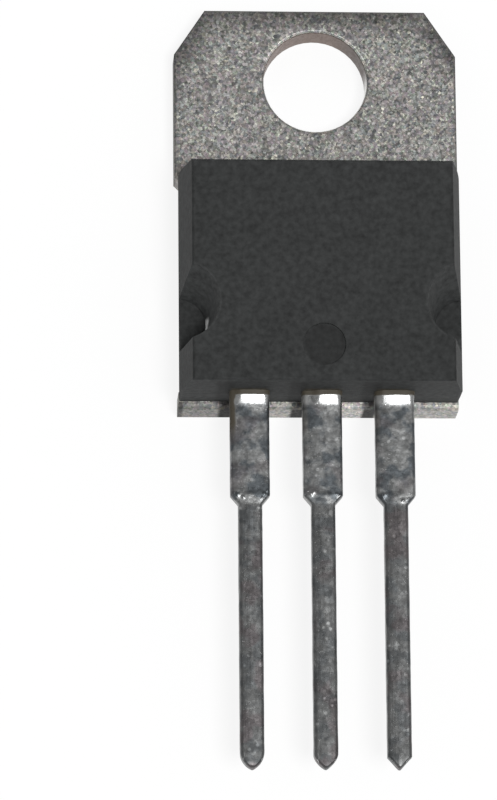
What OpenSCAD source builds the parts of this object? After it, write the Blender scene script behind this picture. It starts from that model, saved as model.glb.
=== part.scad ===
// Power transistor in a flange-mount package with three leads in one row.
// A stamped copper heat spreader carries the die on its paddle and the screw
// hole in its flange. Epoxy is moulded round the paddle and the lead ends.
//
// The package lies on its back. The seating face of the tab is at z = 0, the
// marking face looks up, the leads run towards -Y and the origin is where the
// axis of the mounting hole meets the seating face. Lengths are millimetres.

/* [Tab] */
// Width of the tab
tab_w = 10.1; // [9.7:0.05:10.6]
// Thickness of the tab and of the paddle
tab_t = 1.3; // [1.15:0.05:1.4]
// Diameter of the mounting hole
hole_d = 3.7; // [3.55:0.05:4]
// Distance from the hole's axis to the free end of the tab
hole_to_end = 2.65; // [2.5:0.05:2.9]
// Length of tab that stands clear of the moulding
tab_reach = 6.4; // [6.1:0.05:6.8]
// Width that each cropped corner takes off the free end
crop_x = 1.1; // [0.8:0.05:1.4]
// Length that each cropped corner takes off the side
crop_y = 1.65; // [1.2:0.05:2]
// Bevel along the stamped edges and round the hole
edge_break = 0.08; // [0.04:0.01:0.12]
// Corner cut where the flange meets the moulding
heel_cut = 0.18; // [0.1:0.02:0.3]

/* [Paddle] */
// Length of bare metal past the lower end of the moulding
heel_reach = 0.24; // [0.15:0.01:0.35]
// Length of the wide bar at the lower end of the paddle
heel_bar = 0.6; // [0.5:0.05:0.8]
// Width of that bar
heel_w = 9.9; // [9.6:0.05:10]
// Radius of the rolled edge along the end of that bar, towards the leads
heel_round = 0.18; // [0.1:0.01:0.22]
// Epoxy beside the neck of the paddle, on the seating face
neck_wrap = 0.25; // [0.2:0.05:0.4]
// Epoxy beside the paddle, on the seating face
side_wrap = 0.65; // [0.5:0.05:0.9]
// Overhang of the paddle's coined edge, which keys it into the epoxy
key_overhang = 0.2; // [0.1:0.05:0.3]
// Length of the neck between the flange and the paddle
neck_len = 0.7; // [0.5:0.05:1]
// Depth of the coined lock grooves across the paddle
groove_depth = 0.2; // [0.1:0.02:0.3]
// Diameter of the stake that fastens the collector lead
stake_d = 0.8; // [0.6:0.05:1]
// Diameter of the stake's peened head
stake_head_d = 1.25; // [1.15:0.05:1.4]
// Height of the stake's peened head
stake_head_h = 0.18; // [0.12:0.02:0.24]

/* [Moulding] */
// Height of the marking face above the seating face
body_h = 4.5; // [4.35:0.05:4.7]
// Width at the parting line
body_w = 9.96; // [9.7:0.02:10.2]
// Length at the parting line
body_len = 8.06; // [7.9:0.02:8.3]
// Inward slope of each side, from the parting line to the marking face
side_draft = 0.41; // [0.3:0.01:0.5]
// Inward slope of each side, from the parting line to the seating face
back_draft = 0.13; // [0.08:0.01:0.18]
// Inward slope of both ends, from the parting line to the marking face
end_draft = 0.06; // [0.03:0.01:0.12]
// Radius round the marking face
face_round = 0.1; // [0.05:0.01:0.15]
// Radius of the four upright corners
corner_round = 0.2; // [0.1:0.02:0.3]
// Height by which the metal stands proud of the epoxy on the seating face
seat_relief = 0.04; // [0.02:0.01:0.08]
// Distance from the moulding's upper end to the middle of the notch floors
notch_at = 5.6; // [5.4:0.05:5.8]
// Radius of each side notch at its floor
notch_floor_r = 0.95; // [0.8:0.05:1.1]
// Angle between a notch's upright wall and its flared wall
notch_flare = 24; // [16:1:28]
// Diameter of the ejector-pin mark
pin_mark_d = 1.5; // [1.2:0.05:1.8]
// Depth of the ejector-pin mark
pin_mark_depth = 0.1; // [0.05:0.01:0.2]
// Distance from the moulding's lower end to the middle of the pin mark
pin_mark_at = 1.35; // [1.2:0.05:1.6]

/* [Leads] */
// Distance between the middles of neighbouring leads
pitch = 2.54; // [2.45:0.01:2.65]
// Height of the leads' rear face above the seating face
lead_z = 2.5; // [2.4:0.02:2.6]
// Thickness of the lead frame
lead_t = 0.5; // [0.45:0.01:0.56]
// Width of a lead next to the moulding
wide_w = 1.34; // [1.2:0.02:1.5]
// Length of the wide stretch outside the moulding
wide_len = 3.7; // [3.4:0.05:4.2]
// Width of a lead past its shoulders
narrow_w = 0.8; // [0.7:0.02:0.96]
// Length of the shoulders
shoulder_len = 0.32; // [0.25:0.01:0.45]
// Length of a lead outside the moulding
lead_len = 13.3; // [12.9:0.05:13.7]
// Radius along the edges of the dipped leads
lead_round = 0.09; // [0.05:0.01:0.12]

/* [Inside] */
// Length of a bond post
post_len = 1.3; // [1.1:0.05:1.4]
// Width of a bond post
post_w = 2.1; // [1.9:0.05:2.2]
// Epoxy between the lower end of the moulding and a bond post
post_cover = 0.8; // [0.7:0.05:0.9]
// Diameter of the lock hole in each bond post
lock_hole_d = 0.5; // [0.4:0.05:0.6]
// Side of the square silicon die
die_side = 3.2; // [2.6:0.1:3.4]
// Thickness of the die
die_t = 0.28; // [0.2:0.02:0.36]
// Thickness of the die-attach solder
solder_t = 0.05; // [0.03:0.01:0.08]
// Rim of solder that shows round the die
solder_rim = 0.12; // [0.08:0.02:0.2]
// Gap between the collector lead's foot and the solder under the die
die_gap = 0.35; // [0.2:0.05:0.45]
// Distance from the die's edges to the middle of the wire ends
pad_inset = 0.5; // [0.4:0.05:0.6]
// Epoxy between the lower end of the moulding and the collector lead's bend
collector_cover = 0.25; // [0.15:0.05:0.35]
// Width of the collector lead's foot
foot_w = 2; // [1.7:0.1:2.4]
// Metal between the stake's head and the edge of the foot
foot_rim = 0.15; // [0.1:0.05:0.2]
// Diameter of the base wire
base_wire_d = 0.2; // [0.15:0.01:0.25]
// Diameter of each emitter wire
emitter_wire_d = 0.38; // [0.3:0.01:0.4]
// Length of each flattened wire end
bond_len = 0.5; // [0.4:0.05:0.55]

/* [Hidden] */
$fn = 48;
// Overshoot of a cutting solid past the face that it opens
over = 0.5;
// Flat steps in each rounded corner of a profile
round_steps = 6;

// Places along Y
tab_end_y = hole_to_end;
body_top_y = tab_end_y - tab_reach;
body_end_y = body_top_y - body_len;
heel_y = body_end_y - heel_reach;
bar_y = heel_y + heel_bar;
neck_y = body_top_y - neck_len;
post_end_y = body_end_y + post_cover;
post_y = post_end_y + post_len;

// Half widths across X at the seating face
back_half = body_w / 2 - back_draft;
neck_half = back_half - neck_wrap;
paddle_half = back_half - side_wrap;

// Heights
die_z = tab_t + solder_t;
die_top_z = die_z + die_t;
post_z = lead_z + lead_t;

// Tip of each lead: its length, and how full its sides are (1 is a plain V)
base_tip = [0.66, 2.6];
collector_tip = [0.52, 1.8];
emitter_tip = [0.42, 1];
// Fullness of every tip in side view
tip_side_power = 5;
tip_steps = 12;

// Bend that lowers the collector lead to the paddle, and the straight length by
// which it laps the flat stretches at its two ends
bend_r = 0.35;
bend_lap = 0.1;
ramp_angle = 60;
bend_steps = 6;
ramp_drop = lead_z - tab_t;
ramp_len = (ramp_drop - 2 * bend_r * (1 - cos(ramp_angle))) / sin(ramp_angle);
bend_y = body_end_y + collector_cover;
foot_y = bend_y + 2 * bend_r * sin(ramp_angle) + ramp_len * cos(ramp_angle);
stake_y = foot_y + foot_rim + stake_head_d / 2;
foot_end_y = stake_y + stake_head_d / 2 + foot_rim;

// The die sits past the collector lead's foot
die_y = foot_end_y + die_gap + solder_rim + die_side / 2;

// Middles of the wire ends on the die and on the posts
base_pad = [-die_side / 2 + pad_inset, die_y - die_side / 2 + pad_inset];
emitter_pads = [
    [emitter_wire_d, die_y - die_side / 2 + pad_inset],
    [die_side / 2 - pad_inset, die_y - die_side / 2 + 2 * pad_inset]
];
landing_y = post_y - bond_len;
landing_x = post_w / 4;

// A wire end is pressed wider than the wire, with its middle this low over the
// bonded face. Both are multiples of the diameter.
bond_spread = 1.25;
bond_height = 0.2;
// Length that a loop runs on past each bond, as a multiple of the diameter
bond_run_on = 0.4;
// Half of the angle that a wire loop turns through between its bonds
loop_half_turn = 60;

function unit(v) = v / norm(v);

// Points of the fillet of radius r at corner p between neighbours a and b
function fillet(a, p, b, r) =
    r <= 0 ? [p] :
    let (
        u = unit(a - p),
        v = unit(b - p),
        half = acos(u * v) / 2,
        centre = p + unit(u + v) * r / sin(half),
        from = p + u * r / tan(half) - centre,
        to = p + v * r / tan(half) - centre,
        turn = atan2(from[0] * to[1] - from[1] * to[0], from * to)
    )
    [for (i = [0:round_steps])
        let (k = turn * i / round_steps)
        centre + [from[0] * cos(k) - from[1] * sin(k),
                  from[0] * sin(k) + from[1] * cos(k)]];

// Outline whose corners are rounded, each by its own radius
function rounded(pts, radii) =
    let (n = len(pts))
    [for (i = [0:n - 1])
        each fillet(pts[(i + n - 1) % n], pts[i], pts[(i + 1) % n], radii[i])];

// Right-hand outline points, followed by their mirror images
function mirrored(right) =
    let (n = len(right))
    concat(right, [for (i = [n - 1:-1:0]) [-right[i][0], right[i][1]]]);

// Solid with an outline in X and Z, from y0 down to y1
module along_y(outline, y0, y1)
    translate([0, y0, 0]) rotate([90, 0, 0]) linear_extrude(y0 - y1) polygon(outline);

// Solid with an outline in Y and Z, centred on x = 0
module along_x(outline, width)
    rotate([90, 0, 90]) translate([0, 0, -width / 2]) linear_extrude(width) polygon(outline);

// Solid with an outline in X and Y, from z0 up to z1
module along_z(outline, z0, z1)
    translate([0, 0, z0]) linear_extrude(z1 - z0) polygon(outline);

// Outline of the flange, anticlockwise from its lower right corner
function flange_outline() =
    let (half = tab_w / 2)
    mirrored([
        [half - heel_cut, body_top_y],
        [half, body_top_y + heel_cut],
        [half, tab_end_y - crop_y],
        [half - crop_x, tab_end_y]
    ]);

// Wedge that bevels one outline edge, from a to b, at height z
module edge_wedge(a, b, z)
    translate([a[0], a[1], z])
        rotate([0, 0, atan2(b[1] - a[1], b[0] - a[0])])
            rotate([45, 0, 0])
                translate([-over, -edge_break / sqrt(2), -edge_break / sqrt(2)])
                    cube([norm(b - a) + 2 * over, sqrt(2) * edge_break, sqrt(2) * edge_break]);

// Flange with its stamped edges broken, apart from the edge in the moulding
module flange() {
    outline = flange_outline();
    difference() {
        along_z(outline, 0, tab_t);
        for (i = [0:len(outline) - 2], z = [0, tab_t])
            edge_wedge(outline[i], outline[i + 1], z);
    }
}

// Mounting hole, bevelled at both faces
module mounting_hole() {
    translate([0, 0, -over]) cylinder(h = tab_t + 2 * over, d = hole_d);
    for (turn = [0, 180])
        translate([0, 0, tab_t / 2]) rotate([turn, 0, 0]) translate([0, 0, tab_t / 2 - edge_break])
            cylinder(h = edge_break + over, r1 = hole_d / 2, r2 = hole_d / 2 + edge_break + over);
}

// Paddle in the moulding, with edges that widen towards the die side. Its neck
// runs up into the flange, and its bar reaches past the moulding as the heel.
module paddle() {
    along_y([
        [-paddle_half, 0], [paddle_half, 0],
        [paddle_half + key_overhang, tab_t], [-paddle_half - key_overhang, tab_t]
    ], neck_y, bar_y);
    along_y([[-neck_half, 0], [neck_half, 0], [neck_half, tab_t], [-neck_half, tab_t]],
            body_top_y + neck_len, neck_y);
    along_x(rounded([[bar_y, 0], [heel_y, 0], [heel_y, tab_t], [bar_y, tab_t]],
                    [0, 0, heel_round, 0]), heel_w);
}

// Coined V groove across the die side of the paddle
module lock_groove(y)
    along_x([[y - groove_depth, tab_t + over], [y - groove_depth, tab_t],
             [y, tab_t - groove_depth], [y + groove_depth, tab_t],
             [y + groove_depth, tab_t + over]], tab_w + 2 * over);

// Stake that is pushed up from the paddle and peened over the collector foot
module stake()
    translate([0, stake_y, tab_t]) {
        translate([0, 0, -tab_t / 2]) cylinder(h = tab_t / 2 + lead_t, d = stake_d);
        translate([0, 0, lead_t])
            cylinder(h = stake_head_h, d1 = stake_head_d, d2 = stake_d);
    }

// The part of the heat spreader below the flange
module spreader_core() {
    difference() {
        paddle();
        lock_groove(neck_y + 2 * groove_depth);
        lock_groove(die_y + die_side / 2 + solder_rim + 2 * groove_depth);
    }
    stake();
}

module heat_spreader()
    color("silver") {
        difference() {
            flange();
            mounting_hole();
        }
        spreader_core();
    }

// Cross-section of a dipped lead, in X and Z
function lead_section(width) =
    let (half = width / 2)
    rounded([[-half, lead_z], [half, lead_z], [half, post_z], [-half, post_z]],
            [lead_round, lead_round, lead_round, lead_round]);

// Outline of a bar that runs from top to start and narrows to a point at end
function tip_outline(half, top, start, end, power) =
    let (
        steps = power == 1 ? 1 : tip_steps,
        right = concat([[half, top]], [for (i = [0:steps - 1])
            [half * (1 - pow(i / steps, power)), start + (end - start) * i / steps]])
    )
    concat(right, [[0, end]], [for (i = [steps:-1:0]) [-right[i][0], right[i][1]]]);

// Wide stretch of a lead, from y0 inside the moulding to its shoulders
module wide_stretch(y0)
    along_y(lead_section(wide_w), y0, body_end_y - wide_len);

// Shoulders, narrow stretch and tip of a lead
module lead_tail(tip) {
    wide_end = body_end_y - wide_len;
    narrow_start = wide_end - shoulder_len;
    end = body_end_y - lead_len;
    tip_start = end + tip[0];
    slice = shoulder_len / 20;
    hull() {
        along_y(lead_section(wide_w), wide_end + slice, wide_end);
        along_y(lead_section(narrow_w), narrow_start, narrow_start - slice);
    }
    intersection() {
        along_y(lead_section(narrow_w), narrow_start, end);
        along_z(tip_outline(narrow_w / 2, wide_end, tip_start, end, tip[1]), lead_z, post_z);
        along_x([for (p = tip_outline(lead_t / 2, wide_end, tip_start, end, tip_side_power))
            [p[1], lead_z + lead_t / 2 - p[0]]], narrow_w);
    }
}

// Plate of a bond post, on x = 0
module post_block()
    translate([-post_w / 2, post_end_y, lead_z]) cube([post_w, post_len, lead_t]);

// Wide stretch that ends in a bond post with a lock hole
module post_core()
    difference() {
        union() {
            wide_stretch(post_end_y + lead_round);
            post_block();
        }
        translate([0, post_end_y + lock_hole_d, lead_z - over])
            cylinder(h = lead_t + 2 * over, d = lock_hole_d);
    }

// Arc of radius r about a centre, between two angles
function arc(centre, r, from, to) =
    [for (i = [0:bend_steps])
        let (k = from + (to - from) * i / bend_steps)
        centre + r * [cos(k), sin(k)]];

// Side view of the double bend that lowers the collector lead to the paddle
function bend_outline() =
    let (
        high = [bend_y, post_z - lead_t / 2 - bend_r],
        low = [foot_y, tab_t + lead_t / 2 + bend_r],
        outer = bend_r + lead_t / 2,
        inner = bend_r - lead_t / 2
    )
    concat(
        [[bend_y - bend_lap, post_z]],
        arc(high, outer, 90, 90 - ramp_angle),
        arc(low, inner, 270 - ramp_angle, 270),
        [[foot_y + bend_lap, tab_t + lead_t], [foot_y + bend_lap, tab_t]],
        arc(low, outer, 270, 270 - ramp_angle),
        arc(high, inner, 90 - ramp_angle, 90),
        [[bend_y - bend_lap, lead_z]]
    );

// Wide stretch that bends down to a foot, with a hole for the stake
module collector_core()
    difference() {
        union() {
            wide_stretch(bend_y);
            along_x(bend_outline(), wide_w);
            translate([-foot_w / 2, foot_y, tab_t]) cube([foot_w, foot_end_y - foot_y, lead_t]);
        }
        translate([0, stake_y, tab_t - over]) cylinder(h = lead_t + 2 * over, d = stake_d);
    }

module base_lead()
    color("lightsteelblue") translate([-pitch, 0, 0]) {
        post_core();
        lead_tail(base_tip);
    }

module collector_lead()
    color("lightsteelblue") {
        collector_core();
        lead_tail(collector_tip);
    }

module emitter_lead()
    color("lightsteelblue") translate([pitch, 0, 0]) {
        post_core();
        lead_tail(emitter_tip);
    }

module die_attach_solder()
    color("gray") {
        side = die_side + 2 * solder_rim;
        translate([-side / 2, die_y - side / 2, tab_t]) cube([side, side, solder_t]);
    }

module die_block()
    translate([-die_side / 2, die_y - die_side / 2, die_z]) cube([die_side, die_side, die_t]);

module silicon_die()
    color("dimgray") die_block();

// Loop of wire from height z0 over p0 to height z1 over p1: one arc whose chord
// joins the two bonds, and a flattened end at each bond. The arc runs on a
// little, into the bonded faces.
module wire_loop(p0, z0, p1, z1, d) {
    run = norm(p1 - p0);
    rise = z1 - z0;
    slope = atan2(rise, run);
    r = norm([run, rise]) / (2 * sin(loop_half_turn));
    half_turn = loop_half_turn + atan(bond_run_on * d / r);
    centre = [run, rise] / 2 + r * cos(loop_half_turn) * [sin(slope), -cos(slope)];
    translate([p0[0], p0[1], z0 + bond_height * d])
        rotate([0, 0, atan2(p1[1] - p0[1], p1[0] - p0[0])]) {
            rotate([90, 0, 0]) translate(centre) rotate([0, 0, 90 + slope - half_turn])
                rotate_extrude(angle = 2 * half_turn) translate([r, 0]) circle(d = d);
            for (end = [[d - bond_len, 0], [run - d, rise]])
                translate([end[0], 0, end[1]]) rotate([0, 90, 0])
                    cylinder(h = bond_len, d = bond_spread * d);
        }
}

// Wires as they are bonded: pressed flat on the die and on their posts
module base_bond()
    difference() {
        wire_loop(base_pad, die_top_z, [landing_x - pitch, landing_y], post_z, base_wire_d);
        die_block();
        translate([-pitch, 0, 0]) post_block();
    }

module emitter_bonds()
    difference() {
        for (i = [0:1])
            wire_loop(emitter_pads[i], die_top_z, [pitch + (2 * i - 1) * landing_x, landing_y],
                      post_z, emitter_wire_d);
        die_block();
        translate([pitch, 0, 0]) post_block();
    }

module base_wire()
    color("gainsboro") base_bond();

module emitter_wires()
    color("gainsboro") emitter_bonds();

// Side notch with a flat floor at the parting line. Its wall is a tilted cone:
// upright towards the leads and flared towards the tab.
module side_notch() {
    low_y = body_top_y - notch_at - notch_floor_r;
    apex_z = lead_z - 2 * notch_floor_r / tan(notch_flare);
    height = (body_h + over - apex_z) / cos(notch_flare);
    intersection() {
        translate([body_w / 2, low_y, apex_z]) rotate([-notch_flare / 2, 0, 0])
            cylinder(h = height, r1 = 0, r2 = height * tan(notch_flare / 2));
        translate([0, body_end_y, lead_z]) cube([body_w, body_len, body_h]);
    }
}

// Outer form of the moulding: its end view, side view and plan, intersected
module body_form() {
    half = body_w / 2;
    face_half = half - side_draft;
    reach = body_w + 2 * over;
    intersection() {
        along_y(rounded(
            [[-back_half, seat_relief], [back_half, seat_relief], [half, lead_z],
             [face_half, body_h], [-face_half, body_h], [-half, lead_z]],
            [0, 0, 0, face_round, face_round, 0]), body_top_y + over, body_end_y - over);
        along_x(rounded(
            [[bar_y, seat_relief], [body_top_y, seat_relief], [body_top_y, tab_t],
             [body_top_y - end_draft, body_h], [body_end_y + end_draft, body_h],
             [body_end_y, lead_z], [body_end_y + end_draft / 2, tab_t], [bar_y, tab_t]],
            [0, 0, 0, face_round, face_round, 0, 0, 0]), reach);
        along_z(rounded(
            [[-half, body_end_y], [half, body_end_y], [half, body_top_y], [-half, body_top_y]],
            [corner_round, corner_round, corner_round, corner_round]), 0, body_h + over);
    }
}

// Moulding with its notches and pin mark, filled round everything inside it
module moulded_body()
    color([0.2, 0.21, 0.21]) difference() {
        body_form();
        side_notch();
        mirror([1, 0, 0]) side_notch();
        translate([0, body_end_y + pin_mark_at, body_h - pin_mark_depth])
            cylinder(h = over, d = pin_mark_d);
        spreader_core();
        translate([-pitch, 0, 0]) post_core();
        translate([pitch, 0, 0]) post_core();
        collector_core();
        die_attach_solder();
        die_block();
        base_bond();
        emitter_bonds();
    }

heat_spreader();
moulded_body();
base_lead();
collector_lead();
emitter_lead();
die_attach_solder();
silicon_die();
base_wire();
emitter_wires();
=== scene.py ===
import math

import bpy
import numpy as np
from mathutils import Matrix, Vector


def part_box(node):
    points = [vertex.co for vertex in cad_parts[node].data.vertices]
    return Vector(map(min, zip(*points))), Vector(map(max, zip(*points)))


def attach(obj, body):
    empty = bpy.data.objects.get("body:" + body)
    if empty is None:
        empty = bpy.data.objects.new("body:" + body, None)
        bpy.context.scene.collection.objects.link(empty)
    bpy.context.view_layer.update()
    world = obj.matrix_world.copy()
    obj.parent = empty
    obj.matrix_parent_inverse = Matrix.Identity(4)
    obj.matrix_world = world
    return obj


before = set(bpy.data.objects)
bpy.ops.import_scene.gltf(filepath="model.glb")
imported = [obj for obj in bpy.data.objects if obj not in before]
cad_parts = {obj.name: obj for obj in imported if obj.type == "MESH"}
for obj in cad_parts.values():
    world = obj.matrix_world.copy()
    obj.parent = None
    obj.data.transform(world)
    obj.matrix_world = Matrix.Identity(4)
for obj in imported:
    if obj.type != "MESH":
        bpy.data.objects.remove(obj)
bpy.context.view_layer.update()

bl_info = {
    "name": "Power transistor finisher",
    "version": (1, 0, 0),
    "blender": (4, 5, 0),
    "location": "3D View > Sidebar > Transistor",
    "description": "Solder coats, finishes and a small studio for a power transistor",
    "category": "Add Mesh",
}

MM = 0.001

# Places of the moulding, the tab and the leads, taken from the frame
BODY_LOW, BODY_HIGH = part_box("moulded_body")
SPREADER_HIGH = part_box("heat_spreader")[1]
LEAD_NODES = ("base_lead", "collector_lead", "emitter_lead")
LEAD_X = {node: sum(corner.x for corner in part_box(node)) / 2 for node in LEAD_NODES}
PITCH = LEAD_X["emitter_lead"] - LEAD_X["collector_lead"]
LEAD_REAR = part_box("base_lead")[0].z
LEAD_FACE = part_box("base_lead")[1].z
ROOT = BODY_LOW.y
LEAD_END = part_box("base_lead")[0].y

# Sizes of the modelled pieces that the finishes follow
TAB_THICKNESS = 1.3 * MM
HEEL_HALF_WIDTH = 4.95 * MM
HOLE_RADIUS = 1.85 * MM
HOLE_BEVEL = 0.08 * MM
CROP = Vector((1.1, 1.65)) * MM
FACE_INSET = 0.41 * MM
PIN_MARK_Y = ROOT + 1.35 * MM
PIN_MARK_RADIUS = 0.75 * MM
NOTCH_LOW_Y = BODY_HIGH.y - 6.55 * MM
NOTCH_FLOOR_RADIUS = 0.95 * MM
NOTCH_FLARE = math.radians(24)

# Painted shadows of the leads, dark bands on the heel and on the moulding's end: how far to
# the left of each lead a band's middle is, how far to the left of the part's middle the middle
# of them all is, and how far from there bands are found
HEEL_SHADOW_SHIFT = 0.74 * MM
HEEL_SHADOWS_SHIFT = 0.7 * MM
END_SHADOW_SHIFT = 0.84 * MM
END_SHADOWS_SHIFT = 0.5 * MM
SHADOWS_REACH = 3.5 * MM


def length(name, description, millimetres, low=0.0, high=30.0):
    """A length property. Its default and limits are given in millimetres."""
    return bpy.props.FloatProperty(
        name=name, description=description, default=millimetres * MM,
        min=low * MM, max=high * MM, subtype="DISTANCE", unit="LENGTH", precision=5,
    )


def share(name, description, default, high=1.0):
    """A plain number property from 0 up."""
    return bpy.props.FloatProperty(
        name=name, description=description, default=default, min=0.0, max=high,
    )


def colour(name, description, default):
    """A colour property, in linear red, green and blue."""
    return bpy.props.FloatVectorProperty(
        name=name, description=description, default=default, subtype="COLOR", size=3,
        min=0.0, max=1.0,
    )


class TransistorLeads(bpy.types.PropertyGroup):
    """Sizes of the leads and of the solder that they were dipped in."""

    wide_width: length("Wide width", "Width of a lead next to the moulding", 1.34)
    narrow_width: length("Narrow width", "Width of a lead past its shoulders", 0.8)
    wide_length: length("Wide length", "Length of the wide stretch", 3.7)
    shoulder_length: length("Shoulder length", "Length of the shoulders", 0.32)
    edge_radius: length("Edge radius", "Radius along the edges of a lead", 0.09)
    skin: length("Solder skin", "Least thickness of the solder", 0.012)
    ripple: length("Ripple", "Height of the solder's ripples", 0.006)
    crown: length("Crown", "Extra solder along the middle of a lead", 0.055)
    root_length: length("Root length", "Length of the solder heap beside the moulding", 0.45)
    root_slope: share("Root slope", "Slope of the solder heap beside the moulding", 0.25)


class TransistorColours(bpy.types.PropertyGroup):
    """Colours of the finishes."""

    plating: colour("Plating", "Matte plating of the tab", (0.276, 0.271, 0.26))
    copper: colour("Copper", "Sheared copper in the mounting hole", (0.26, 0.19, 0.16))
    epoxy: colour("Epoxy", "Moulding compound", (0.0295, 0.031, 0.031))
    solder: colour("Solder", "Clean solder on the leads", (0.238, 0.242, 0.241))
    oxide: colour("Oxide", "Dull patches on the solder", (0.088, 0.097, 0.104))
    warm_oxide: colour("Warm oxide", "Warmer patches on the solder", (0.175, 0.154, 0.157))
    # The flux colour also paints shade on the leads' left sides
    flux: colour("Flux", "Brown residue beside the moulding", (0.05, 0.042, 0.028))
    silicon: colour("Silicon", "Bare silicon of the die", (0.09, 0.1, 0.13))
    aluminium: colour("Aluminium", "Bond wires and pads", (0.8, 0.8, 0.82))
    floor: colour("Floor", "Pale studio floor", (0.93, 0.93, 0.93))


class TransistorStage(bpy.types.PropertyGroup):
    """The studio: its floor, its light and the camera."""

    floor_radius: length("Floor radius", "Radius of the floor", 900, high=5000)
    floor_white: share("Floor white", "Share of plain white that the camera sees", 0.86)
    key_strength: share("Key strength", "Irradiance of the key lamp", 2.2, 20.0)
    key_angle: share("Key angle", "Apparent size of the key lamp, in radians", 0.3)
    horizon: share("Horizon", "Brightness of the studio at the horizon", 1.0)
    walls: share("Walls", "Brightness of the studio's walls", 0.5)
    zenith: share("Zenith", "Brightness of the studio straight overhead", 0.12)
    lens: length("Lens", "Focal length", 224.9, high=1000)


# Shader nodes


class Signal:
    """A socket of a material's nodes. Arithmetic on signals adds Math nodes."""

    def __init__(self, tree, socket=None):
        self.tree = tree
        self.socket = socket

    def node(self, kind, settings=None, inputs=None, output=0):
        """Adds a node: its settings come first, then the numbers or signals of its sockets."""
        made = self.tree.nodes.new(kind)
        for name, setting in (settings or {}).items():
            setattr(made, name, setting)
        for place, value in (inputs or {}).items():
            if isinstance(value, Signal):
                self.tree.links.new(value.socket, made.inputs[place])
            else:
                made.inputs[place].default_value = value
        return Signal(self.tree, made.outputs[output])

    def math(self, operation, *values):
        return self.node("ShaderNodeMath", {"operation": operation}, dict(enumerate(values)))

    def __add__(self, other):
        return self.math("ADD", self, other)

    __radd__ = __add__

    def __sub__(self, other):
        return self.math("SUBTRACT", self, other)

    def __rsub__(self, other):
        return self.math("SUBTRACT", other, self)

    def __mul__(self, other):
        return self.math("MULTIPLY", self, other)

    __rmul__ = __mul__

    def __truediv__(self, other):
        return self.math("DIVIDE", self, other)

    def __pow__(self, other):
        return self.math("POWER", self, other)

    def __abs__(self):
        return self.math("ABSOLUTE", self)

    def least(self, other):
        return self.math("MINIMUM", self, other)

    def most(self, other):
        return self.math("MAXIMUM", self, other)

    def step(self, start, end, low=0.0, high=1.0):
        """A smooth step from low, at start, to high, at end."""
        return self.node(
            "ShaderNodeMapRange", {"interpolation_type": "SMOOTHSTEP"},
            {"Value": self, 1: start, 2: end, 3: low, 4: high},
        )

    def fade(self, start, end):
        """1 up to start, then a smooth step down to 0 at end."""
        return 1 - self.step(start, end)

    def parts(self):
        """The three numbers of a vector."""
        split = self.node("ShaderNodeSeparateXYZ", inputs={0: self}).socket.node
        return [Signal(self.tree, socket) for socket in split.outputs]

    def vector(self, operation, other, output=0):
        """Vector arithmetic with another vector, or with a number where it is a scale."""
        place = "Scale" if operation == "SCALE" else 1
        return self.node(
            "ShaderNodeVectorMath", {"operation": operation}, {0: self, place: other}, output
        )

    def blend(self, first, second):
        """The colour between two colours that this signal, from 0 to 1, picks."""
        values = {0: self}
        for place, value in ((6, first), (7, second)):
            values[place] = value if isinstance(value, Signal) else (*value, 1)
        return self.node("ShaderNodeMix", {"data_type": "RGBA"}, values, output=2)

    def tint(self, amount):
        """A colour times a number that may vary over the surface."""
        return self.vector("SCALE", amount)

    def stretched(self, *scale):
        """This place times a scale for each axis. A pattern on it is drawn out along an axis
        whose scale is under 1."""
        return self.node("ShaderNodeMapping", None, {"Vector": self, "Scale": scale})

    def cells(self, size):
        """Voronoi cells, about size across, over this place: the distance from a cell's
        centre, the cell's random colour and its centre."""
        made = self.node("ShaderNodeTexVoronoi", None, {"Vector": self, "Scale": 1 / size})
        outputs = made.socket.node.outputs
        return [Signal(self.tree, outputs[name]) for name in ("Distance", "Color", "Position")]

    def noise(self, size, detail=2.0, distortion=0.0):
        """Noise, from 0 to 1, whose features are about size across, over this place."""
        return self.node(
            "ShaderNodeTexNoise", None,
            {"Vector": self, "Scale": 1 / size, "Detail": detail, "Distortion": distortion},
        )


def new_material(name):
    """A material with a Principled shader. Returns it, a Signal to start from and the shader."""
    material = bpy.data.materials.new(name)
    material.use_nodes = True
    tree = material.node_tree
    tree.nodes.clear()
    start = Signal(tree)
    shader = start.node("ShaderNodeBsdfPrincipled").socket.node
    out = tree.nodes.new("ShaderNodeOutputMaterial")
    tree.links.new(shader.outputs[0], out.inputs[0])
    return material, start, shader


def set_shader(shader, **values):
    """Sets the shader's sockets. A socket's name is written with _ for each space."""
    for name, value in values.items():
        socket = shader.inputs[name.replace("_", " ")]
        if isinstance(value, Signal):
            shader.id_data.links.new(value.socket, socket)
        else:
            socket.default_value = value


def dimmer(rgb, amount):
    """A colour times a number."""
    return tuple(channel * amount for channel in rgb)


def object_place(start):
    """Where a point is, in the frame's metres."""
    return start.node("ShaderNodeTexCoord", output="Object")


def bumped(height):
    """A normal from a height in metres."""
    return height.node("ShaderNodeBump", None, {"Strength": 1.0, "Distance": 1.0, "Height": height})


def grain(place, size, tilt):
    """Height of crystal grains: each Voronoi cell is a little plane with a random tilt. The
    height is the place in the cell times the tilt. Also returns the cell's random colour."""
    random, centre = place.cells(size)[1:]
    inside = place.vector("SUBTRACT", centre)
    slope = random.vector("SUBTRACT", (0.5, 0.5, 0.5))
    return inside.vector("DOT_PRODUCT", slope, output="Value") * (2 * tilt), random


def across_lead(x):
    """How far across the nearest lead a point is, from its middle. The middles repeat every
    pitch."""
    return x - PITCH * x.math("ROUND", x / PITCH)


def from_painted_shadow(x, shift):
    """How far a point is from the middle of the nearest painted shadow of a lead, which lies to
    the left of its lead by the shift."""
    return abs(x.math("WRAP", x + shift, PITCH / 2, -PITCH / 2))


def among_painted_shadows(x, shift):
    """1 where the painted shadows of the leads are found, and 0 past their reach from the middle
    of them all, which lies to the left by the shift."""
    return abs(x + shift).fade(SHADOWS_REACH - 0.1 * MM, SHADOWS_REACH + 0.1 * MM)


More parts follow.
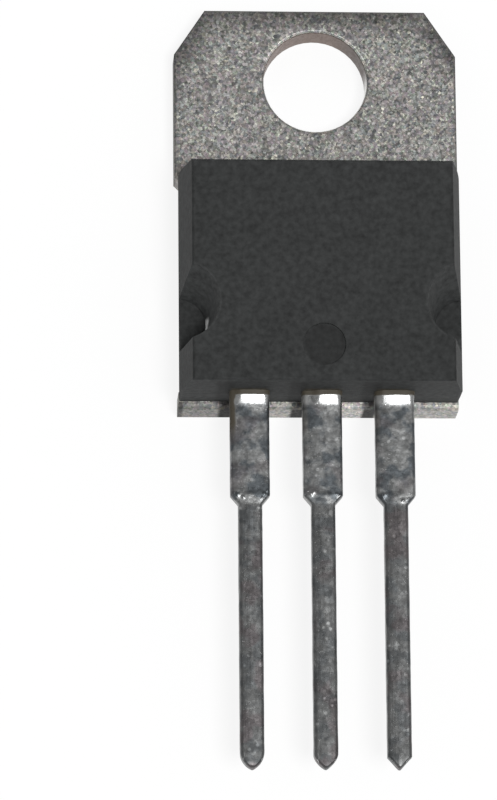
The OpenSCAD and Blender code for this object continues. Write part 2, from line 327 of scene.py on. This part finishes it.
def in_notch(x, y, z):
    """1 in the moulding's side notches, above their floors. Each notch is a cone with its
    apex straight under the notch's end that is nearest to the leads. A point is in it where
    its way from the apex is within half of the flare of the cone's axis. The cosine of that
    angle is the dot product of way and axis over the way's length."""
    half_flare = NOTCH_FLARE / 2
    apex_z = LEAD_REAR - 2 * NOTCH_FLOOR_RADIUS / math.tan(NOTCH_FLARE)
    mirrored = x.node("ShaderNodeCombineXYZ", None, {0: abs(x), 1: y, 2: z})
    way = mirrored.vector("SUBTRACT", (BODY_HIGH.x, NOTCH_LOW_Y, apex_z))
    axis = (0, math.sin(half_flare), math.cos(half_flare))
    reach = way.vector("LENGTH", (0, 0, 0), output="Value")
    cosine = way.vector("DOT_PRODUCT", axis, output="Value") / reach
    cone = cosine.step(math.cos(half_flare + 0.01), math.cos(half_flare + 0.006))
    return cone * z.step(LEAD_REAR - 0.03 * MM, LEAD_REAR - 0.01 * MM)


# Finishes


def plated_copper(colours):
    """Stamped copper under matte plating. Each grain of plating has its own brightness, hue
    and tilt. The stamped edges roll over, with painted shade where they roll and on their
    walls. The heel is dull from trimming and carries painted light, painted shade and painted
    shadows of the leads. The mounting hole's rim has a painted highlight, and its shear-cut
    wall shows bare copper with painted shade and a painted reflection."""
    material, start, shader = new_material("plated_copper")
    place = object_place(start)
    x, y, z = place.parts()
    height, random = grain(place, 0.11 * MM, 0.09)
    fine, fleck = grain(place, 0.075 * MM, 0.09)
    cloud = place.noise(0.25 * MM)
    level = 0.3 + 0.62 * random.parts()[0] + 0.5 * fleck.parts()[1] + 0.3 * cloud

    # How far a point is inside the outline: from the sides, the end and the cropped corners
    crop_way = Vector((CROP.y, CROP.x)).normalized()
    crop_reach = crop_way.x * SPREADER_HIGH.x + crop_way.y * (SPREADER_HIGH.y - CROP.y)
    crop_inside = crop_reach - crop_way.x * abs(x) - crop_way.y * y
    end_inside = (SPREADER_HIGH.y - y).least(crop_inside)
    side_inside = SPREADER_HIGH.x - abs(x)
    side_roll = (1 - side_inside / (0.3 * MM)).most(0) ** 2.0
    end_roll_and_shade = (1 - end_inside / (0.9 * MM)).most(0) ** 2.0
    # Painted shade: darker where the end and the cropped corners roll over, and within 1.6 mm of
    # the end
    level = level * (1 - 0.4 * end_roll_and_shade) * (1 - 0.2 * end_inside.step(1.6 * MM, 0))
    # Painted shade on the stamped walls round the outline
    side_wall_shade = side_inside.least(end_inside).fade(0.01 * MM, 0.08 * MM)
    level = level * (1 - 0.5 * side_wall_shade)

    # The mounting hole: its rim rolls over a little, its bevelled rim has a painted highlight at
    # the far side, and its wall is streaked along the punch's way
    radius = (x * x + y * y) ** 0.5
    rim = (1 - (radius - HOLE_RADIUS) / (0.3 * MM)).most(0).least(1) ** 2.0
    bevel_radius = HOLE_RADIUS + HOLE_BEVEL
    bevel_highlight = radius.fade(bevel_radius, bevel_radius + 0.02 * MM)
    level = level * (1 + bevel_highlight * y.step(0.2 * MM, 1.2 * MM, 0.1, 1.6))
    wall = radius.fade(HOLE_RADIUS + 0.005 * MM, HOLE_RADIUS + 0.025 * MM)
    streak = place.stretched(1, 1, 0.15).noise(0.12 * MM, 3.0)
    copper = streak.blend(dimmer(colours.copper, 0.5), dimmer(colours.copper, 0.9))
    # Painted shade: the wall is darker towards the right
    copper = copper.tint(x.step(0.4 * MM, 1.7 * MM, 1.0, 0.45))
    # Painted reflection: the wall's half towards the leads is near white, as the white floor seen
    # in it
    copper_wall_and_reflection = y.step(-0.3 * MM, 0.6 * MM).blend((0.9, 0.9, 0.88), copper)

    # The heel: painted light and shade. It is painted brightest to the right of its middle, a
    # painted reflection of the lit floor, with painted shade at its left corner and the painted
    # shadows of the leads, though these are weaker along its upper edge
    heel = y.fade(ROOT, ROOT + 0.02 * MM)
    # Painted shadows of the leads
    lead_shadow = from_painted_shadow(x, HEEL_SHADOW_SHIFT).fade(0.16 * MM, 0.3 * MM)
    lead_shadow = lead_shadow * among_painted_shadows(x, HEEL_SHADOWS_SHIFT)
    heel_shadow_dimming = 1 - z.step(TAB_THICKNESS - 0.2 * MM, TAB_THICKNESS, 0.92, 0.4) * lead_shadow
    # Painted reflection, brightest to the right of the heel's middle
    bright = x.step(-4.5 * MM, 2.0 * MM, 0.93, 2.0) * x.step(1.8 * MM, 4.0 * MM, 1.0, 0.75)
    bright = bright * (0.8 + 0.5 * fleck.parts()[2]) * heel_shadow_dimming
    # Painted shade at the heel's left corner
    bright = bright * (x + HEEL_HALF_WIDTH).step(0.1 * MM, 0.22 * MM, 0.45, 1.0)
    level = level * (1 - heel) + (0.4 + 0.6 * level) * bright * heel

    hue = random.vector("MULTIPLY", (0.16, 0.12, 0.16)).vector("ADD", (0.92, 0.94, 0.92))
    plating = hue.vector("MULTIPLY", tuple(colours.plating)).tint(level)
    set_shader(
        shader,
        Base_Color=wall.blend(plating, copper_wall_and_reflection),
        Metallic=1.0,
        Roughness=0.5 + 0.12 * random.parts()[2] + 0.1 * heel - 0.14 * wall,
        Normal=bumped(
            (height + fine) * (1 - 0.8 * wall) - (end_roll_and_shade + 0.35 * rim) * (0.07 * MM)
            - side_roll * (0.035 * MM) + streak * (0.004 * MM) * wall
        ),
    )
    return material


def moulding_epoxy(colours):
    """Black moulding compound with the fine even grain of a spark-eroded mould. The ejector
    pin left a smooth mark. The end is painted lighter, with a painted shadow beside each lead,
    and flux lies on it over each lead. The notches carry painted light, the left notch's wall
    a painted glint, and the face painted shade along its sides."""
    material, start, shader = new_material("moulding_epoxy")
    place = object_place(start)
    x, y, z = place.parts()
    fine = place.noise(0.06 * MM, 3.0)
    coarse = place.noise(0.19 * MM, 3.0)
    cloud = place.noise(1.2 * MM, 3.0, distortion=0.4)
    level = 0.02 + 0.3 * cloud + 1.46 * coarse

    away = (x * x + (y - PIN_MARK_Y) ** 2.0) ** 0.5 + 0.2 * MM * (cloud - 0.5)
    pin = away.fade(PIN_MARK_RADIUS - 0.1 * MM, PIN_MARK_RADIUS + 0.02 * MM)

    # The notches: their walls and the near half of their floors are painted lighter, painted light
    # that fills the lamp's shadow there
    notch = in_notch(x, y, z)
    notch_wall = z.step(LEAD_REAR + 0.01 * MM, LEAD_REAR + 0.1 * MM)
    notch_near = y.fade(NOTCH_LOW_Y + 0.1 * MM, NOTCH_LOW_Y + 0.9 * MM)
    notch_fill_light = notch * ((1 - notch_wall) * (0.8 * notch_near - 0.1) + 0.2 * notch_wall)
    # A painted glint low on the left notch's wall, by its floor
    painted_glint = notch * z.step(2.52 * MM, 2.6 * MM) * z.fade(2.8 * MM, 3.1 * MM)
    painted_glint = painted_glint * abs(y - (NOTCH_LOW_Y + 0.85 * MM)).fade(0.15 * MM, 0.36 * MM)
    painted_glint = painted_glint * x.fade(0, 0.1 * MM)

    # The end that the leads leave: painted lighter, as painted light, with a painted shadow beside
    # each lead and flux over it
    past_root = y - ROOT
    on_end = among_painted_shadows(x, END_SHADOWS_SHIFT) * past_root.fade(0.05 * MM, 0.12 * MM)
    lead_shadow = from_painted_shadow(x, END_SHADOW_SHIFT).fade(0.2 * MM, 0.42 * MM) * on_end
    lead_shadow = lead_shadow * z.fade(3.9 * MM, 4.4 * MM)
    over_face = z - LEAD_FACE
    flux = abs(across_lead(x)).fade(0.5 * MM, 0.75 * MM) * on_end
    flux = flux * over_face.step(0.0, 0.05 * MM) * over_face.fade(0.15 * MM, 0.5 * MM)
    # Painted light lifts the notches and the end; the pin mark is darker
    level = level * (1 - 0.42 * pin) * (1 + notch_fill_light) * (
        1 + 0.22 * past_root.fade(0.05 * MM, 0.1 * MM))

    # Painted shade: the marking face is darker along its sides, where its edges round over
    face_rim_shade = (BODY_HIGH.x - FACE_INSET - abs(x)).fade(0, 0.12 * MM)
    face_rim_shade = face_rim_shade * z.step(BODY_HIGH.z - 0.1 * MM, BODY_HIGH.z - 0.05 * MM)
    level = level * (1 - 0.25 * face_rim_shade)

    # The painted shadows of the leads darken the epoxy
    base = lead_shadow.blend(colours.epoxy, dimmer(colours.epoxy, 0.55))
    base = (0.75 * flux).blend(base, colours.flux)
    base = (0.8 * painted_glint).blend(base, (0.6, 0.6, 0.6))
    set_shader(
        shader,
        Base_Color=base.tint(level),
        Roughness=0.72 - 0.12 * pin,
        Specular_IOR_Level=0.2,
        Normal=bumped(((fine - 0.5) * 0.006 + (coarse - 0.5) * 0.008) * MM * (1 - 0.6 * pin)),
    )
    return material


def solder_dip(colours, sizes):
    """Dipped solder. The heap by the moulding is clean and smooth. The rest froze as small
    grains with a skin of oxide in patches, drawn out along the narrow stretch, with bright
    specks, and with painted shade over the middles of the shoulders, which leaves their
    corners lighter. Flux is left where the lead leaves the moulding, and the flux colour also
    paints shade down each lead's left side, most of all on the first lead. The cut walls of
    the tips are brighter."""
    material, start, shader = new_material("solder_dip")
    place = object_place(start)
    x, y, z = place.parts()
    across = across_lead(x)
    wide_end = ROOT - sizes.wide_length
    narrow = y.fade(wide_end - 0.5 * MM, wide_end)
    shoulder = abs(y - wide_end + 0.03 * MM).fade(0.12 * MM, 0.3 * MM)
    corners = abs(across).step(0.16 * MM, 0.42 * MM)
    tips = y.fade(LEAD_END + 0.3 * MM, LEAD_END + 0.7 * MM)
    below_face = z.fade(LEAD_FACE - 0.1 * MM, LEAD_FACE - 0.02 * MM)
    cut = y.fade(LEAD_END + 0.4 * MM, LEAD_END + 0.6 * MM) * below_face

    height, random = grain(place, 0.13 * MM, 0.025)
    patches = place.noise(0.6 * MM, 3.0)
    fine = place.noise(0.28 * MM)
    streaks = 0.75 * place.stretched(1, 0.11, 1).noise(0.12 * MM) + 0.25 * fine
    texture = fine * (1 - narrow) + streaks * narrow
    dull = patches.step(0.44, 0.58) * (1 - 0.4 * narrow)
    warm = place.noise(0.9 * MM).step(0.5, 0.62) * (0.35 + 0.35 * narrow)
    dots = place.cells(0.32 * MM)[0].fade(0.1, 0.26)
    specks = dots * place.noise(1.1 * MM, 1.0).step(0.54, 0.6)

    uneven = patches - 0.5
    # Painted shade in the flux colour down each lead's left side, most on the first lead
    left_flank_shade = (across + 0.3 * MM * uneven).fade(-0.56 * MM, -0.44 * MM)
    left_flank_shade = left_flank_shade * x.step(-PITCH, -PITCH / 2, 1.0, 0.35)
    from_root = ROOT - y + 0.1 * MM * uneven
    bleed = from_root.fade(0.11 * MM, 0.18 * MM)
    flux = bleed.most(left_flank_shade * y.step(ROOT - 2.0 * MM, ROOT - 1.1 * MM))
    clean = from_root.fade(0.35 * MM, 0.65 * MM)

    base = (dull * (1 - clean)).blend(colours.solder, colours.oxide)
    base = (warm * (1 - clean)).blend(base, colours.warm_oxide)
    level = 0.3 + 1.3 * texture + 0.1 * random.parts()[0]
    level = level * (1 - 0.34 * narrow) + 0.8 * specks
    level = level * (1 - clean) + 1.6 * clean
    # Painted shade darkens the middles of the shoulders, leaving their corners lighter
    level = level * (1 - 0.15 * tips) * (1 + 0.7 * cut) * (1 - 0.42 * shoulder * (1 - corners))
    rough = 0.3 + 0.08 * dull + 0.08 * fine + 0.1 * tips
    relief = height * (1 - 0.5 * shoulder) + (texture - 0.5) * (0.007 * MM)
    set_shader(
        shader,
        Base_Color=flux.blend(base.tint(level), colours.flux),
        Metallic=1 - 0.9 * flux,
        Roughness=rough * (1 - 0.3 * clean) + 0.4 * flux,
        Normal=bumped(relief * (1 - 0.75 * clean)),
    )
    return material


def bare_lead(colours):
    """Lead frame under the solder and inside the moulding, with rolling lines along Y."""
    material, start, shader = new_material("tinned_lead")
    place = object_place(start)
    lines = place.stretched(1, 0.03, 1).noise(0.05 * MM, 3.0)
    base = lines.blend(colours.solder, dimmer(colours.solder, 0.7))
    set_shader(
        shader, Base_Color=base, Metallic=1.0, Roughness=0.3 + 0.15 * lines,
        Normal=bumped(lines * (0.002 * MM)),
    )
    return material


def die_solder(colours):
    """Soft solder under the die, frozen with a slightly wavy grey skin."""
    material, start, shader = new_material("die_solder")
    place = object_place(start)
    skin = place.noise(0.25 * MM, 3.0, distortion=0.6)
    base = skin.blend(colours.solder, colours.oxide)
    set_shader(
        shader, Base_Color=base, Metallic=1.0, Roughness=0.28 + 0.2 * skin,
        Normal=bumped(skin * (0.01 * MM)),
    )
    return material


def die_silicon(colours):
    """Silicon die: aluminium emitter fingers on the face, kept in from its rim, and dark sawn
    sides. The die is square."""
    material, start, shader = new_material("silicon")
    low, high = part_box("silicon_die")
    place = object_place(start)
    x, y, z = place.parts()
    past_rim = (abs(x) - high.x).most(abs(y - (low.y + high.y) / 2) - high.x)
    inside = past_rim.fade(-0.16 * MM, -0.15 * MM)
    finger = start.math("PINGPONG", x, 0.12 * MM).step(0.035 * MM, 0.045 * MM)
    face = z.step(high.z - 0.004 * MM, high.z - 0.002 * MM)
    metal = finger * inside * face
    saw = place.noise(0.03 * MM, 3.0)
    set_shader(
        shader,
        Base_Color=metal.blend(colours.silicon, colours.aluminium),
        Metallic=metal,
        Roughness=0.18 + 0.25 * saw,
        Normal=bumped(saw * (0.001 * MM) + metal * (0.002 * MM)),
    )
    return material


def bond_wire(colours):
    """Drawn aluminium wire with faint die lines."""
    material, start, shader = new_material("bond_wire")
    place = object_place(start)
    lines = place.stretched(1, 0.1, 0.1).noise(0.04 * MM, 3.0)
    base = lines.blend(colours.aluminium, dimmer(colours.aluminium, 0.85))
    set_shader(
        shader, Base_Color=base, Metallic=1.0, Roughness=0.22 + 0.12 * lines,
        Normal=bumped(lines * (0.001 * MM)),
    )
    return material


def dress(node, material):
    """Gives a CAD node's mesh one material."""
    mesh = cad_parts[node].data
    mesh.materials.clear()
    mesh.materials.append(material)


# Solder coats


def smooth_step(value, start, end):
    """3t^2 - 2t^3, where t is how far value is from start to end, held between 0 and 1."""
    t = np.clip((value - start) / (end - start), 0, 1)
    return t * t * (3 - 2 * t)


def ring_samples(flat_wide, flat_thin, turn):
    """One trip round a rounded rectangle, as two arrays of rows: the corner that each sample
    hangs on, from -1 to 1 each way, and the way out from it. Along a flat side the corner
    slides, and round a corner the way out turns."""
    corners, outward = [], []
    for k, (cx, cy) in enumerate([(1, 1), (-1, 1), (-1, -1), (1, -1)]):
        angle = math.pi / 2 * (k + np.arange(turn) / turn)
        corners.append(np.tile([cx, cy], (turn, 1)))
        outward.append(np.stack([np.cos(angle), np.sin(angle)], 1))
        count = flat_wide if k % 2 == 0 else flat_thin
        slide = np.arange(count)[:, None] / count
        following = [(-1, 1), (-1, -1), (1, -1), (1, 1)][k]
        corners.append(np.array([cx, cy]) * (1 - slide) + np.array(following) * slide)
        end = math.pi / 2 * (k + 1)
        outward.append(np.tile([math.cos(end), math.sin(end)], (count, 1)))
    return np.concatenate(corners), np.concatenate(outward)


def ripples(points, seed, shortest, longest, count=48):
    """A sum of cosine waves with random directions, lengths and phases, scaled to about 1."""
    rng = np.random.default_rng(seed)
    ways = rng.normal(size=(count, 3))
    ways /= np.linalg.norm(ways, axis=1)[:, None]
    lengths = np.exp(rng.uniform(math.log(shortest), math.log(longest), count))
    phases = rng.uniform(0, 2 * math.pi, count)
    turns = points @ (ways * (2 * math.pi / lengths)[:, None]).T + phases
    return (np.cos(turns) * (lengths / longest)).sum(-1) / math.sqrt(count)


def new_object(name, data):
    """An object with this mesh, lamp or camera, in the scene."""
    made = bpy.data.objects.new(name, data)
    bpy.context.scene.collection.objects.link(made)
    return made


def ring_quads(rows, around):
    """The faces between rows of points, as four places in the list of points. Each row is
    closed on itself."""
    i, j = np.meshgrid(np.arange(rows - 1), np.arange(around), indexing="ij")
    k = (j + 1) % around
    corners = (i * around + j, (i + 1) * around + j, (i + 1) * around + k, i * around + k)
    return np.stack(corners, -1).reshape(-1, 4).tolist()


def closed_mesh(name, points):
    """A mesh from rows of points. Each row is closed on itself, and the first and the last
    row are closed with a fan to their middle."""
    rows, around = points.shape[:2]
    middles = [points[0].mean(0), points[-1].mean(0)]
    vertices = np.concatenate([points.reshape(-1, 3), middles])
    j = np.arange(around)
    k = (j + 1) % around
    first = np.stack([np.full(around, rows * around), j, k], 1)
    last_row = (rows - 1) * around
    last = np.stack([np.full(around, rows * around + 1), last_row + k, last_row + j], 1)
    mesh = bpy.data.meshes.new(name)
    mesh.from_pydata(
        vertices.tolist(), [], ring_quads(rows, around) + first.tolist() + last.tolist()
    )
    mesh.polygons.foreach_set("use_smooth", np.ones(len(mesh.polygons), bool))
    mesh.validate()
    return mesh


# Each lead's tip, as it was cut: its length in millimetres and its fullness. Then the solder
# heap beside the moulding: its slope, as a share of the usual one, and where across the lead
# it starts and has its full height, as shares of the half width. Then the ripples' seed.
DIPS = {
    "base_lead": {"tip": 0.66, "full": 2.6, "heap": 1.0, "span": (-0.9, -0.45), "seed": 11},
    "collector_lead": {"tip": 0.52, "full": 1.8, "heap": 0.95, "span": (-0.6, -0.1), "seed": 23},
    "emitter_lead": {"tip": 0.42, "full": 1.0, "heap": 1.05, "span": (-1.0, -0.6), "seed": 37},
}

# Lumps where the dam bar was cut away: across the lead, as a share of its half width, along
# it past the wide stretch's end, in millimetres, and size
LUMPS = {
    "base_lead": [(-0.68, 0.0, 1.0), (-0.37, 0.08, 0.8), (0.73, -0.03, 0.9), (0.9, -0.14, 0.9),
                  (0.62, 0.11, 0.7)],
    "collector_lead": [(-0.65, -0.03, 1.1), (-0.48, -0.1, 0.8), (0.88, 0.03, 1.0),
                       (0.7, -0.04, 0.6)],
    "emitter_lead": [(-0.7, 0.05, 1.0), (-0.57, -0.02, 0.8), (0.35, 0.2, 0.8), (0.62, 0.14, 0.6)],
}
LUMP_RADIUS = 0.055 * MM
LUMP_HEIGHT = 0.035 * MM

# Rows of points along a lead's body and its tip, and how far the first is in the moulding
BODY_ROWS = 330
TIP_ROWS = 26
SUNK = 0.05 * MM

# The power that keeps a tip's thickness until just before its end, the rounding of a heap's
# end, and where across every lead its right side falls off, as shares of the half width
TIP_BLUNTNESS = 14
HEAP_ROUNDING = 0.1 * MM
HEAP_FALL = (0.75, 1.15)


def solder_coat(node, sizes):
    """The skin of solder on one lead: a rounded rectangle carried along the lead. The skin is
    added along the way out. It is the least skin, plus ripples, plus a crown of height
    crown (1 - u^2), where u is the place across the lead from -1 to 1, plus lumps of height
    h exp(-(distance / radius)^2), plus the heap beside the moulding. The heap's height is
    slope (d + sqrt(d^2 + e^2)) / 2, where d is the distance to the heap's end and e rounds
    that end off. Along the tip the width is times 1 - t^full and the thickness times
    1 - t^bluntness, where t goes from 0 to 1 at its end."""
    dip = DIPS[node]
    centre_x = LEAD_X[node]
    centre_z = (LEAD_REAR + LEAD_FACE) / 2
    thick = (LEAD_FACE - LEAD_REAR) / 2
    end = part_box(node)[0].y
    tip = dip["tip"] * MM
    body_rows = np.linspace(ROOT + SUNK, end + tip, BODY_ROWS)
    tip_rows = end + tip * (1 - np.sin(np.linspace(0, math.pi / 2, TIP_ROWS)[1:]))
    along = np.concatenate([body_rows, tip_rows])
    wide_end = ROOT - sizes.wide_length
    shoulder = np.clip((wide_end - along) / sizes.shoulder_length, 0, 1)
    half = sizes.wide_width / 2 + (sizes.narrow_width - sizes.wide_width) / 2 * shoulder
    into_tip = np.clip((end + tip - along) / tip, 0, 1)
    crown = sizes.crown * half / half[0] * (1 - into_tip ** 2)
    half = half * (1 - into_tip ** dip["full"])
    depth = thick * (1 - into_tip ** TIP_BLUNTNESS)
    radius = np.minimum(sizes.edge_radius, np.minimum(half, depth))

    corner, out = ring_samples(flat_wide=36, flat_thin=12, turn=6)
    reach = np.stack([half - radius, depth - radius], 1)
    flat = reach[:, None, :] * corner + radius[:, None, None] * out
    place = np.stack([flat[..., 0] + centre_x,
                      np.broadcast_to(along[:, None], flat.shape[:2]),
                      flat[..., 1] + centre_z], -1)

    ripple = ripples(place, dip["seed"], 0.35 * MM, 1.6 * MM) + 0.35 * ripples(
        place, dip["seed"] + 1, 0.12 * MM, 0.4 * MM)
    skin = sizes.skin + sizes.ripple * (1 + np.tanh(ripple))
    across = flat[..., 0] / np.maximum(half, 1e-9)[:, None]
    skin = skin + crown[:, None] * (1 - np.minimum(across ** 2, 1)) * np.abs(out[:, 1])

    upward = np.clip(out[:, 1], 0, 1)
    to_heap_end = (sizes.root_length - (ROOT - along))[:, None]
    heap = sizes.root_slope * dip["heap"] * (
        to_heap_end + np.sqrt(to_heap_end ** 2 + HEAP_ROUNDING ** 2)) / 2
    covered = smooth_step(across, *dip["span"]) * (1 - smooth_step(across, *HEAP_FALL))
    skin = skin + heap * (0.15 + 0.85 * upward * covered)
    for share_across, past, size in LUMPS[node]:
        spot = np.array([centre_x + share_across * sizes.wide_width / 2,
                         wide_end - past * MM, LEAD_FACE])
        away = np.linalg.norm(place - spot, axis=-1) / (LUMP_RADIUS * size)
        skin = skin + LUMP_HEIGHT * size * np.exp(-away ** 2)

    points = place.copy()
    points[..., 0] += skin * out[:, 0]
    points[..., 2] += skin * out[:, 1]
    points[..., 1] -= skin * into_tip[:, None] ** 2
    mesh = closed_mesh(node.replace("lead", "solder_coat"), points)
    return new_object(mesh.name, mesh)


# Stage


# The floor's gap under the part, the way to the key lamp, and the camera: it looks at its
# target from a distance, tilted towards the leads, turned to the side and then rolled
FLOOR_GAP = 0.02 * MM
KEY_WAY = Vector((0.167, -0.25, 1.0))
CAMERA_TILT = math.radians(13.373)
CAMERA_TURN = math.radians(3.235)
CAMERA_ROLL = math.radians(-0.467)
CAMERA_TARGET = Vector((-2.522, -11.888, 2.0)) * MM
CAMERA_DISTANCE = 175.36 * MM


def studio_floor(stage, colours):
    """A flat disc just under the part: rings of points at equal angles round the part. The
    camera sees it nearly white, and it keeps the part's shadow."""
    angle = np.linspace(0, 2 * math.pi, 96, endpoint=False)
    radii = stage.floor_radius * np.array([0.02, 0.1, 0.4, 1.0])
    ring = np.stack([np.cos(angle), np.sin(angle), np.zeros_like(angle)], -1)
    points = radii[:, None, None] * ring + np.array([0, ROOT, -FLOOR_GAP])
    rows, around = points.shape[:2]
    mesh = bpy.data.meshes.new("studio_floor")
    mesh.from_pydata(
        points.reshape(-1, 3).tolist(), [], ring_quads(rows, around) + [list(range(around))]
    )
    floor = new_object("studio_floor", mesh)

    material, start, shader = new_material("studio_floor")
    place = object_place(start)
    paper = place.noise(1.5 * MM, 3.0)
    base = paper.blend(colours.floor, dimmer(colours.floor, 0.985))
    set_shader(shader, Base_Color=base, Roughness=0.9, Specular_IOR_Level=0.1)
    rays = start.node("ShaderNodeLightPath").socket.node
    seen = Signal(start.tree, rays.outputs["Is Camera Ray"])
    for name in ("Is Glossy Ray", "Is Transmission Ray"):
        seen = seen.most(Signal(start.tree, rays.outputs[name]))
    white = start.node("ShaderNodeEmission", None, {"Color": (1, 1, 1, 1), "Strength": 1.0})
    surface = Signal(start.tree, shader.outputs[0])
    mixed = start.node(
        "ShaderNodeMixShader", None, {0: seen * stage.floor_white, 1: surface, 2: white}
    )
    out = next(n for n in start.tree.nodes if n.type == "OUTPUT_MATERIAL")
    start.tree.links.new(mixed.socket, out.inputs[0])
    mesh.materials.append(material)


def studio_light(stage):
    """One soft key lamp in front and to the right, in a room that is white at the horizon,
    grey above it and darker overhead. The room's levels are blended over the sine of the
    height above the horizon."""
    lamp = bpy.data.lights.new("key_lamp", "SUN")
    lamp.energy = stage.key_strength
    lamp.angle = stage.key_angle
    key = new_object("key_lamp", lamp)
    key.rotation_euler = KEY_WAY.to_track_quat("Z", "Y").to_euler()

    world = bpy.data.worlds.new("studio")
    world.use_nodes = True
    tree = world.node_tree
    tree.nodes.clear()
    start = Signal(tree)
    up = start.node("ShaderNodeTexCoord", output="Generated").parts()[2]
    level = up.step(0.02, 0.2, stage.horizon, stage.walls)
    level = level - up.step(0.88, 0.97, 0.0, stage.walls - stage.zenith)
    sky = start.node("ShaderNodeBackground", None, {"Color": (1, 1, 1, 1), "Strength": level})
    out = tree.nodes.new("ShaderNodeOutputWorld")
    tree.links.new(sky.socket, out.inputs[0])
    bpy.context.scene.world = world


def studio_camera(stage):
    """A camera above the leads, looking down on the marking face. Back is the way from the
    target to the camera. Right and up are level, and are then turned by the roll."""
    back = Vector((-math.sin(CAMERA_TURN) * math.cos(CAMERA_TILT), -math.sin(CAMERA_TILT),
                   math.cos(CAMERA_TURN) * math.cos(CAMERA_TILT)))
    right = (-back).cross(Vector((0, 1, 0))).normalized()
    up = right.cross(-back)
    rolled_right = math.cos(CAMERA_ROLL) * right + math.sin(CAMERA_ROLL) * up
    rolled_up = -math.sin(CAMERA_ROLL) * right + math.cos(CAMERA_ROLL) * up
    camera = bpy.data.cameras.new("camera")
    camera.lens = stage.lens / MM
    camera.clip_start = 1 * MM
    camera.clip_end = 10
    holder = new_object("camera", camera)
    axes = Matrix((rolled_right, rolled_up, back)).transposed()
    place = Matrix.Translation(CAMERA_TARGET + CAMERA_DISTANCE * back)
    holder.matrix_world = place @ axes.to_4x4()
    bpy.context.scene.camera = holder


# Operators and panel


class TRANSISTOR_OT_plate_spreader(bpy.types.Operator):
    """Plate the heat spreader"""

    bl_idname = "transistor.plate_spreader"
    bl_label = "Plate heat spreader"

    def execute(self, context):
        dress("heat_spreader", plated_copper(context.scene.transistor_colours))
        return {"FINISHED"}


class TRANSISTOR_OT_finish_body(bpy.types.Operator):
    """Give the moulded body its epoxy"""

    bl_idname = "transistor.finish_body"
    bl_label = "Finish moulded body"

    def execute(self, context):
        dress("moulded_body", moulding_epoxy(context.scene.transistor_colours))
        return {"FINISHED"}


class TRANSISTOR_OT_dip_leads(bpy.types.Operator):
    """Coat the three leads with solder"""

    bl_idname = "transistor.dip_leads"
    bl_label = "Dip leads"

    def execute(self, context):
        scene = context.scene
        solder = solder_dip(scene.transistor_colours, scene.transistor_leads)
        tinned = bare_lead(scene.transistor_colours)
        for node in LEAD_NODES:
            dress(node, tinned)
            coat = solder_coat(node, scene.transistor_leads)
            coat.data.materials.append(solder)
            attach(coat, "root")
        return {"FINISHED"}


class TRANSISTOR_OT_finish_inside(bpy.types.Operator):
    """Finish the die, its solder and its wires"""

    bl_idname = "transistor.finish_inside"
    bl_label = "Finish inside"

    def execute(self, context):
        colours = context.scene.transistor_colours
        wire = bond_wire(colours)
        dress("die_attach_solder", die_solder(colours))
        dress("silicon_die", die_silicon(colours))
        dress("base_wire", wire)
        dress("emitter_wires", wire)
        return {"FINISHED"}


class TRANSISTOR_OT_set_stage(bpy.types.Operator):
    """Set up the floor, the light and the camera"""

    bl_idname = "transistor.set_stage"
    bl_label = "Set stage"

    def execute(self, context):
        scene = context.scene
        scene.view_settings.view_transform = "Standard"
        studio_floor(scene.transistor_stage, scene.transistor_colours)
        studio_light(scene.transistor_stage)
        studio_camera(scene.transistor_stage)
        return {"FINISHED"}


STEPS = ("set_stage", "plate_spreader", "finish_body", "dip_leads", "finish_inside")


class TRANSISTOR_PT_panel(bpy.types.Panel):
    """Steps that finish the transistor"""

    bl_idname = "TRANSISTOR_PT_panel"
    bl_label = "Transistor"
    bl_space_type = "VIEW_3D"
    bl_region_type = "UI"
    bl_category = "Transistor"

    def draw(self, context):
        for step in STEPS:
            self.layout.operator("transistor." + step)


CLASSES = (
    TransistorLeads, TransistorColours, TransistorStage, TRANSISTOR_OT_plate_spreader,
    TRANSISTOR_OT_finish_body, TRANSISTOR_OT_dip_leads, TRANSISTOR_OT_finish_inside,
    TRANSISTOR_OT_set_stage, TRANSISTOR_PT_panel,
)


def register():
    for cls in CLASSES:
        bpy.utils.register_class(cls)
    scene = bpy.types.Scene
    scene.transistor_leads = bpy.props.PointerProperty(type=TransistorLeads)
    scene.transistor_colours = bpy.props.PointerProperty(type=TransistorColours)
    scene.transistor_stage = bpy.props.PointerProperty(type=TransistorStage)


def unregister():
    scene = bpy.types.Scene
    del scene.transistor_stage, scene.transistor_colours, scene.transistor_leads
    for cls in reversed(CLASSES):
        bpy.utils.unregister_class(cls)


def main():
    register()
    for step in STEPS:
        getattr(bpy.ops.transistor, step)()


if __name__ == "__main__":
    main()
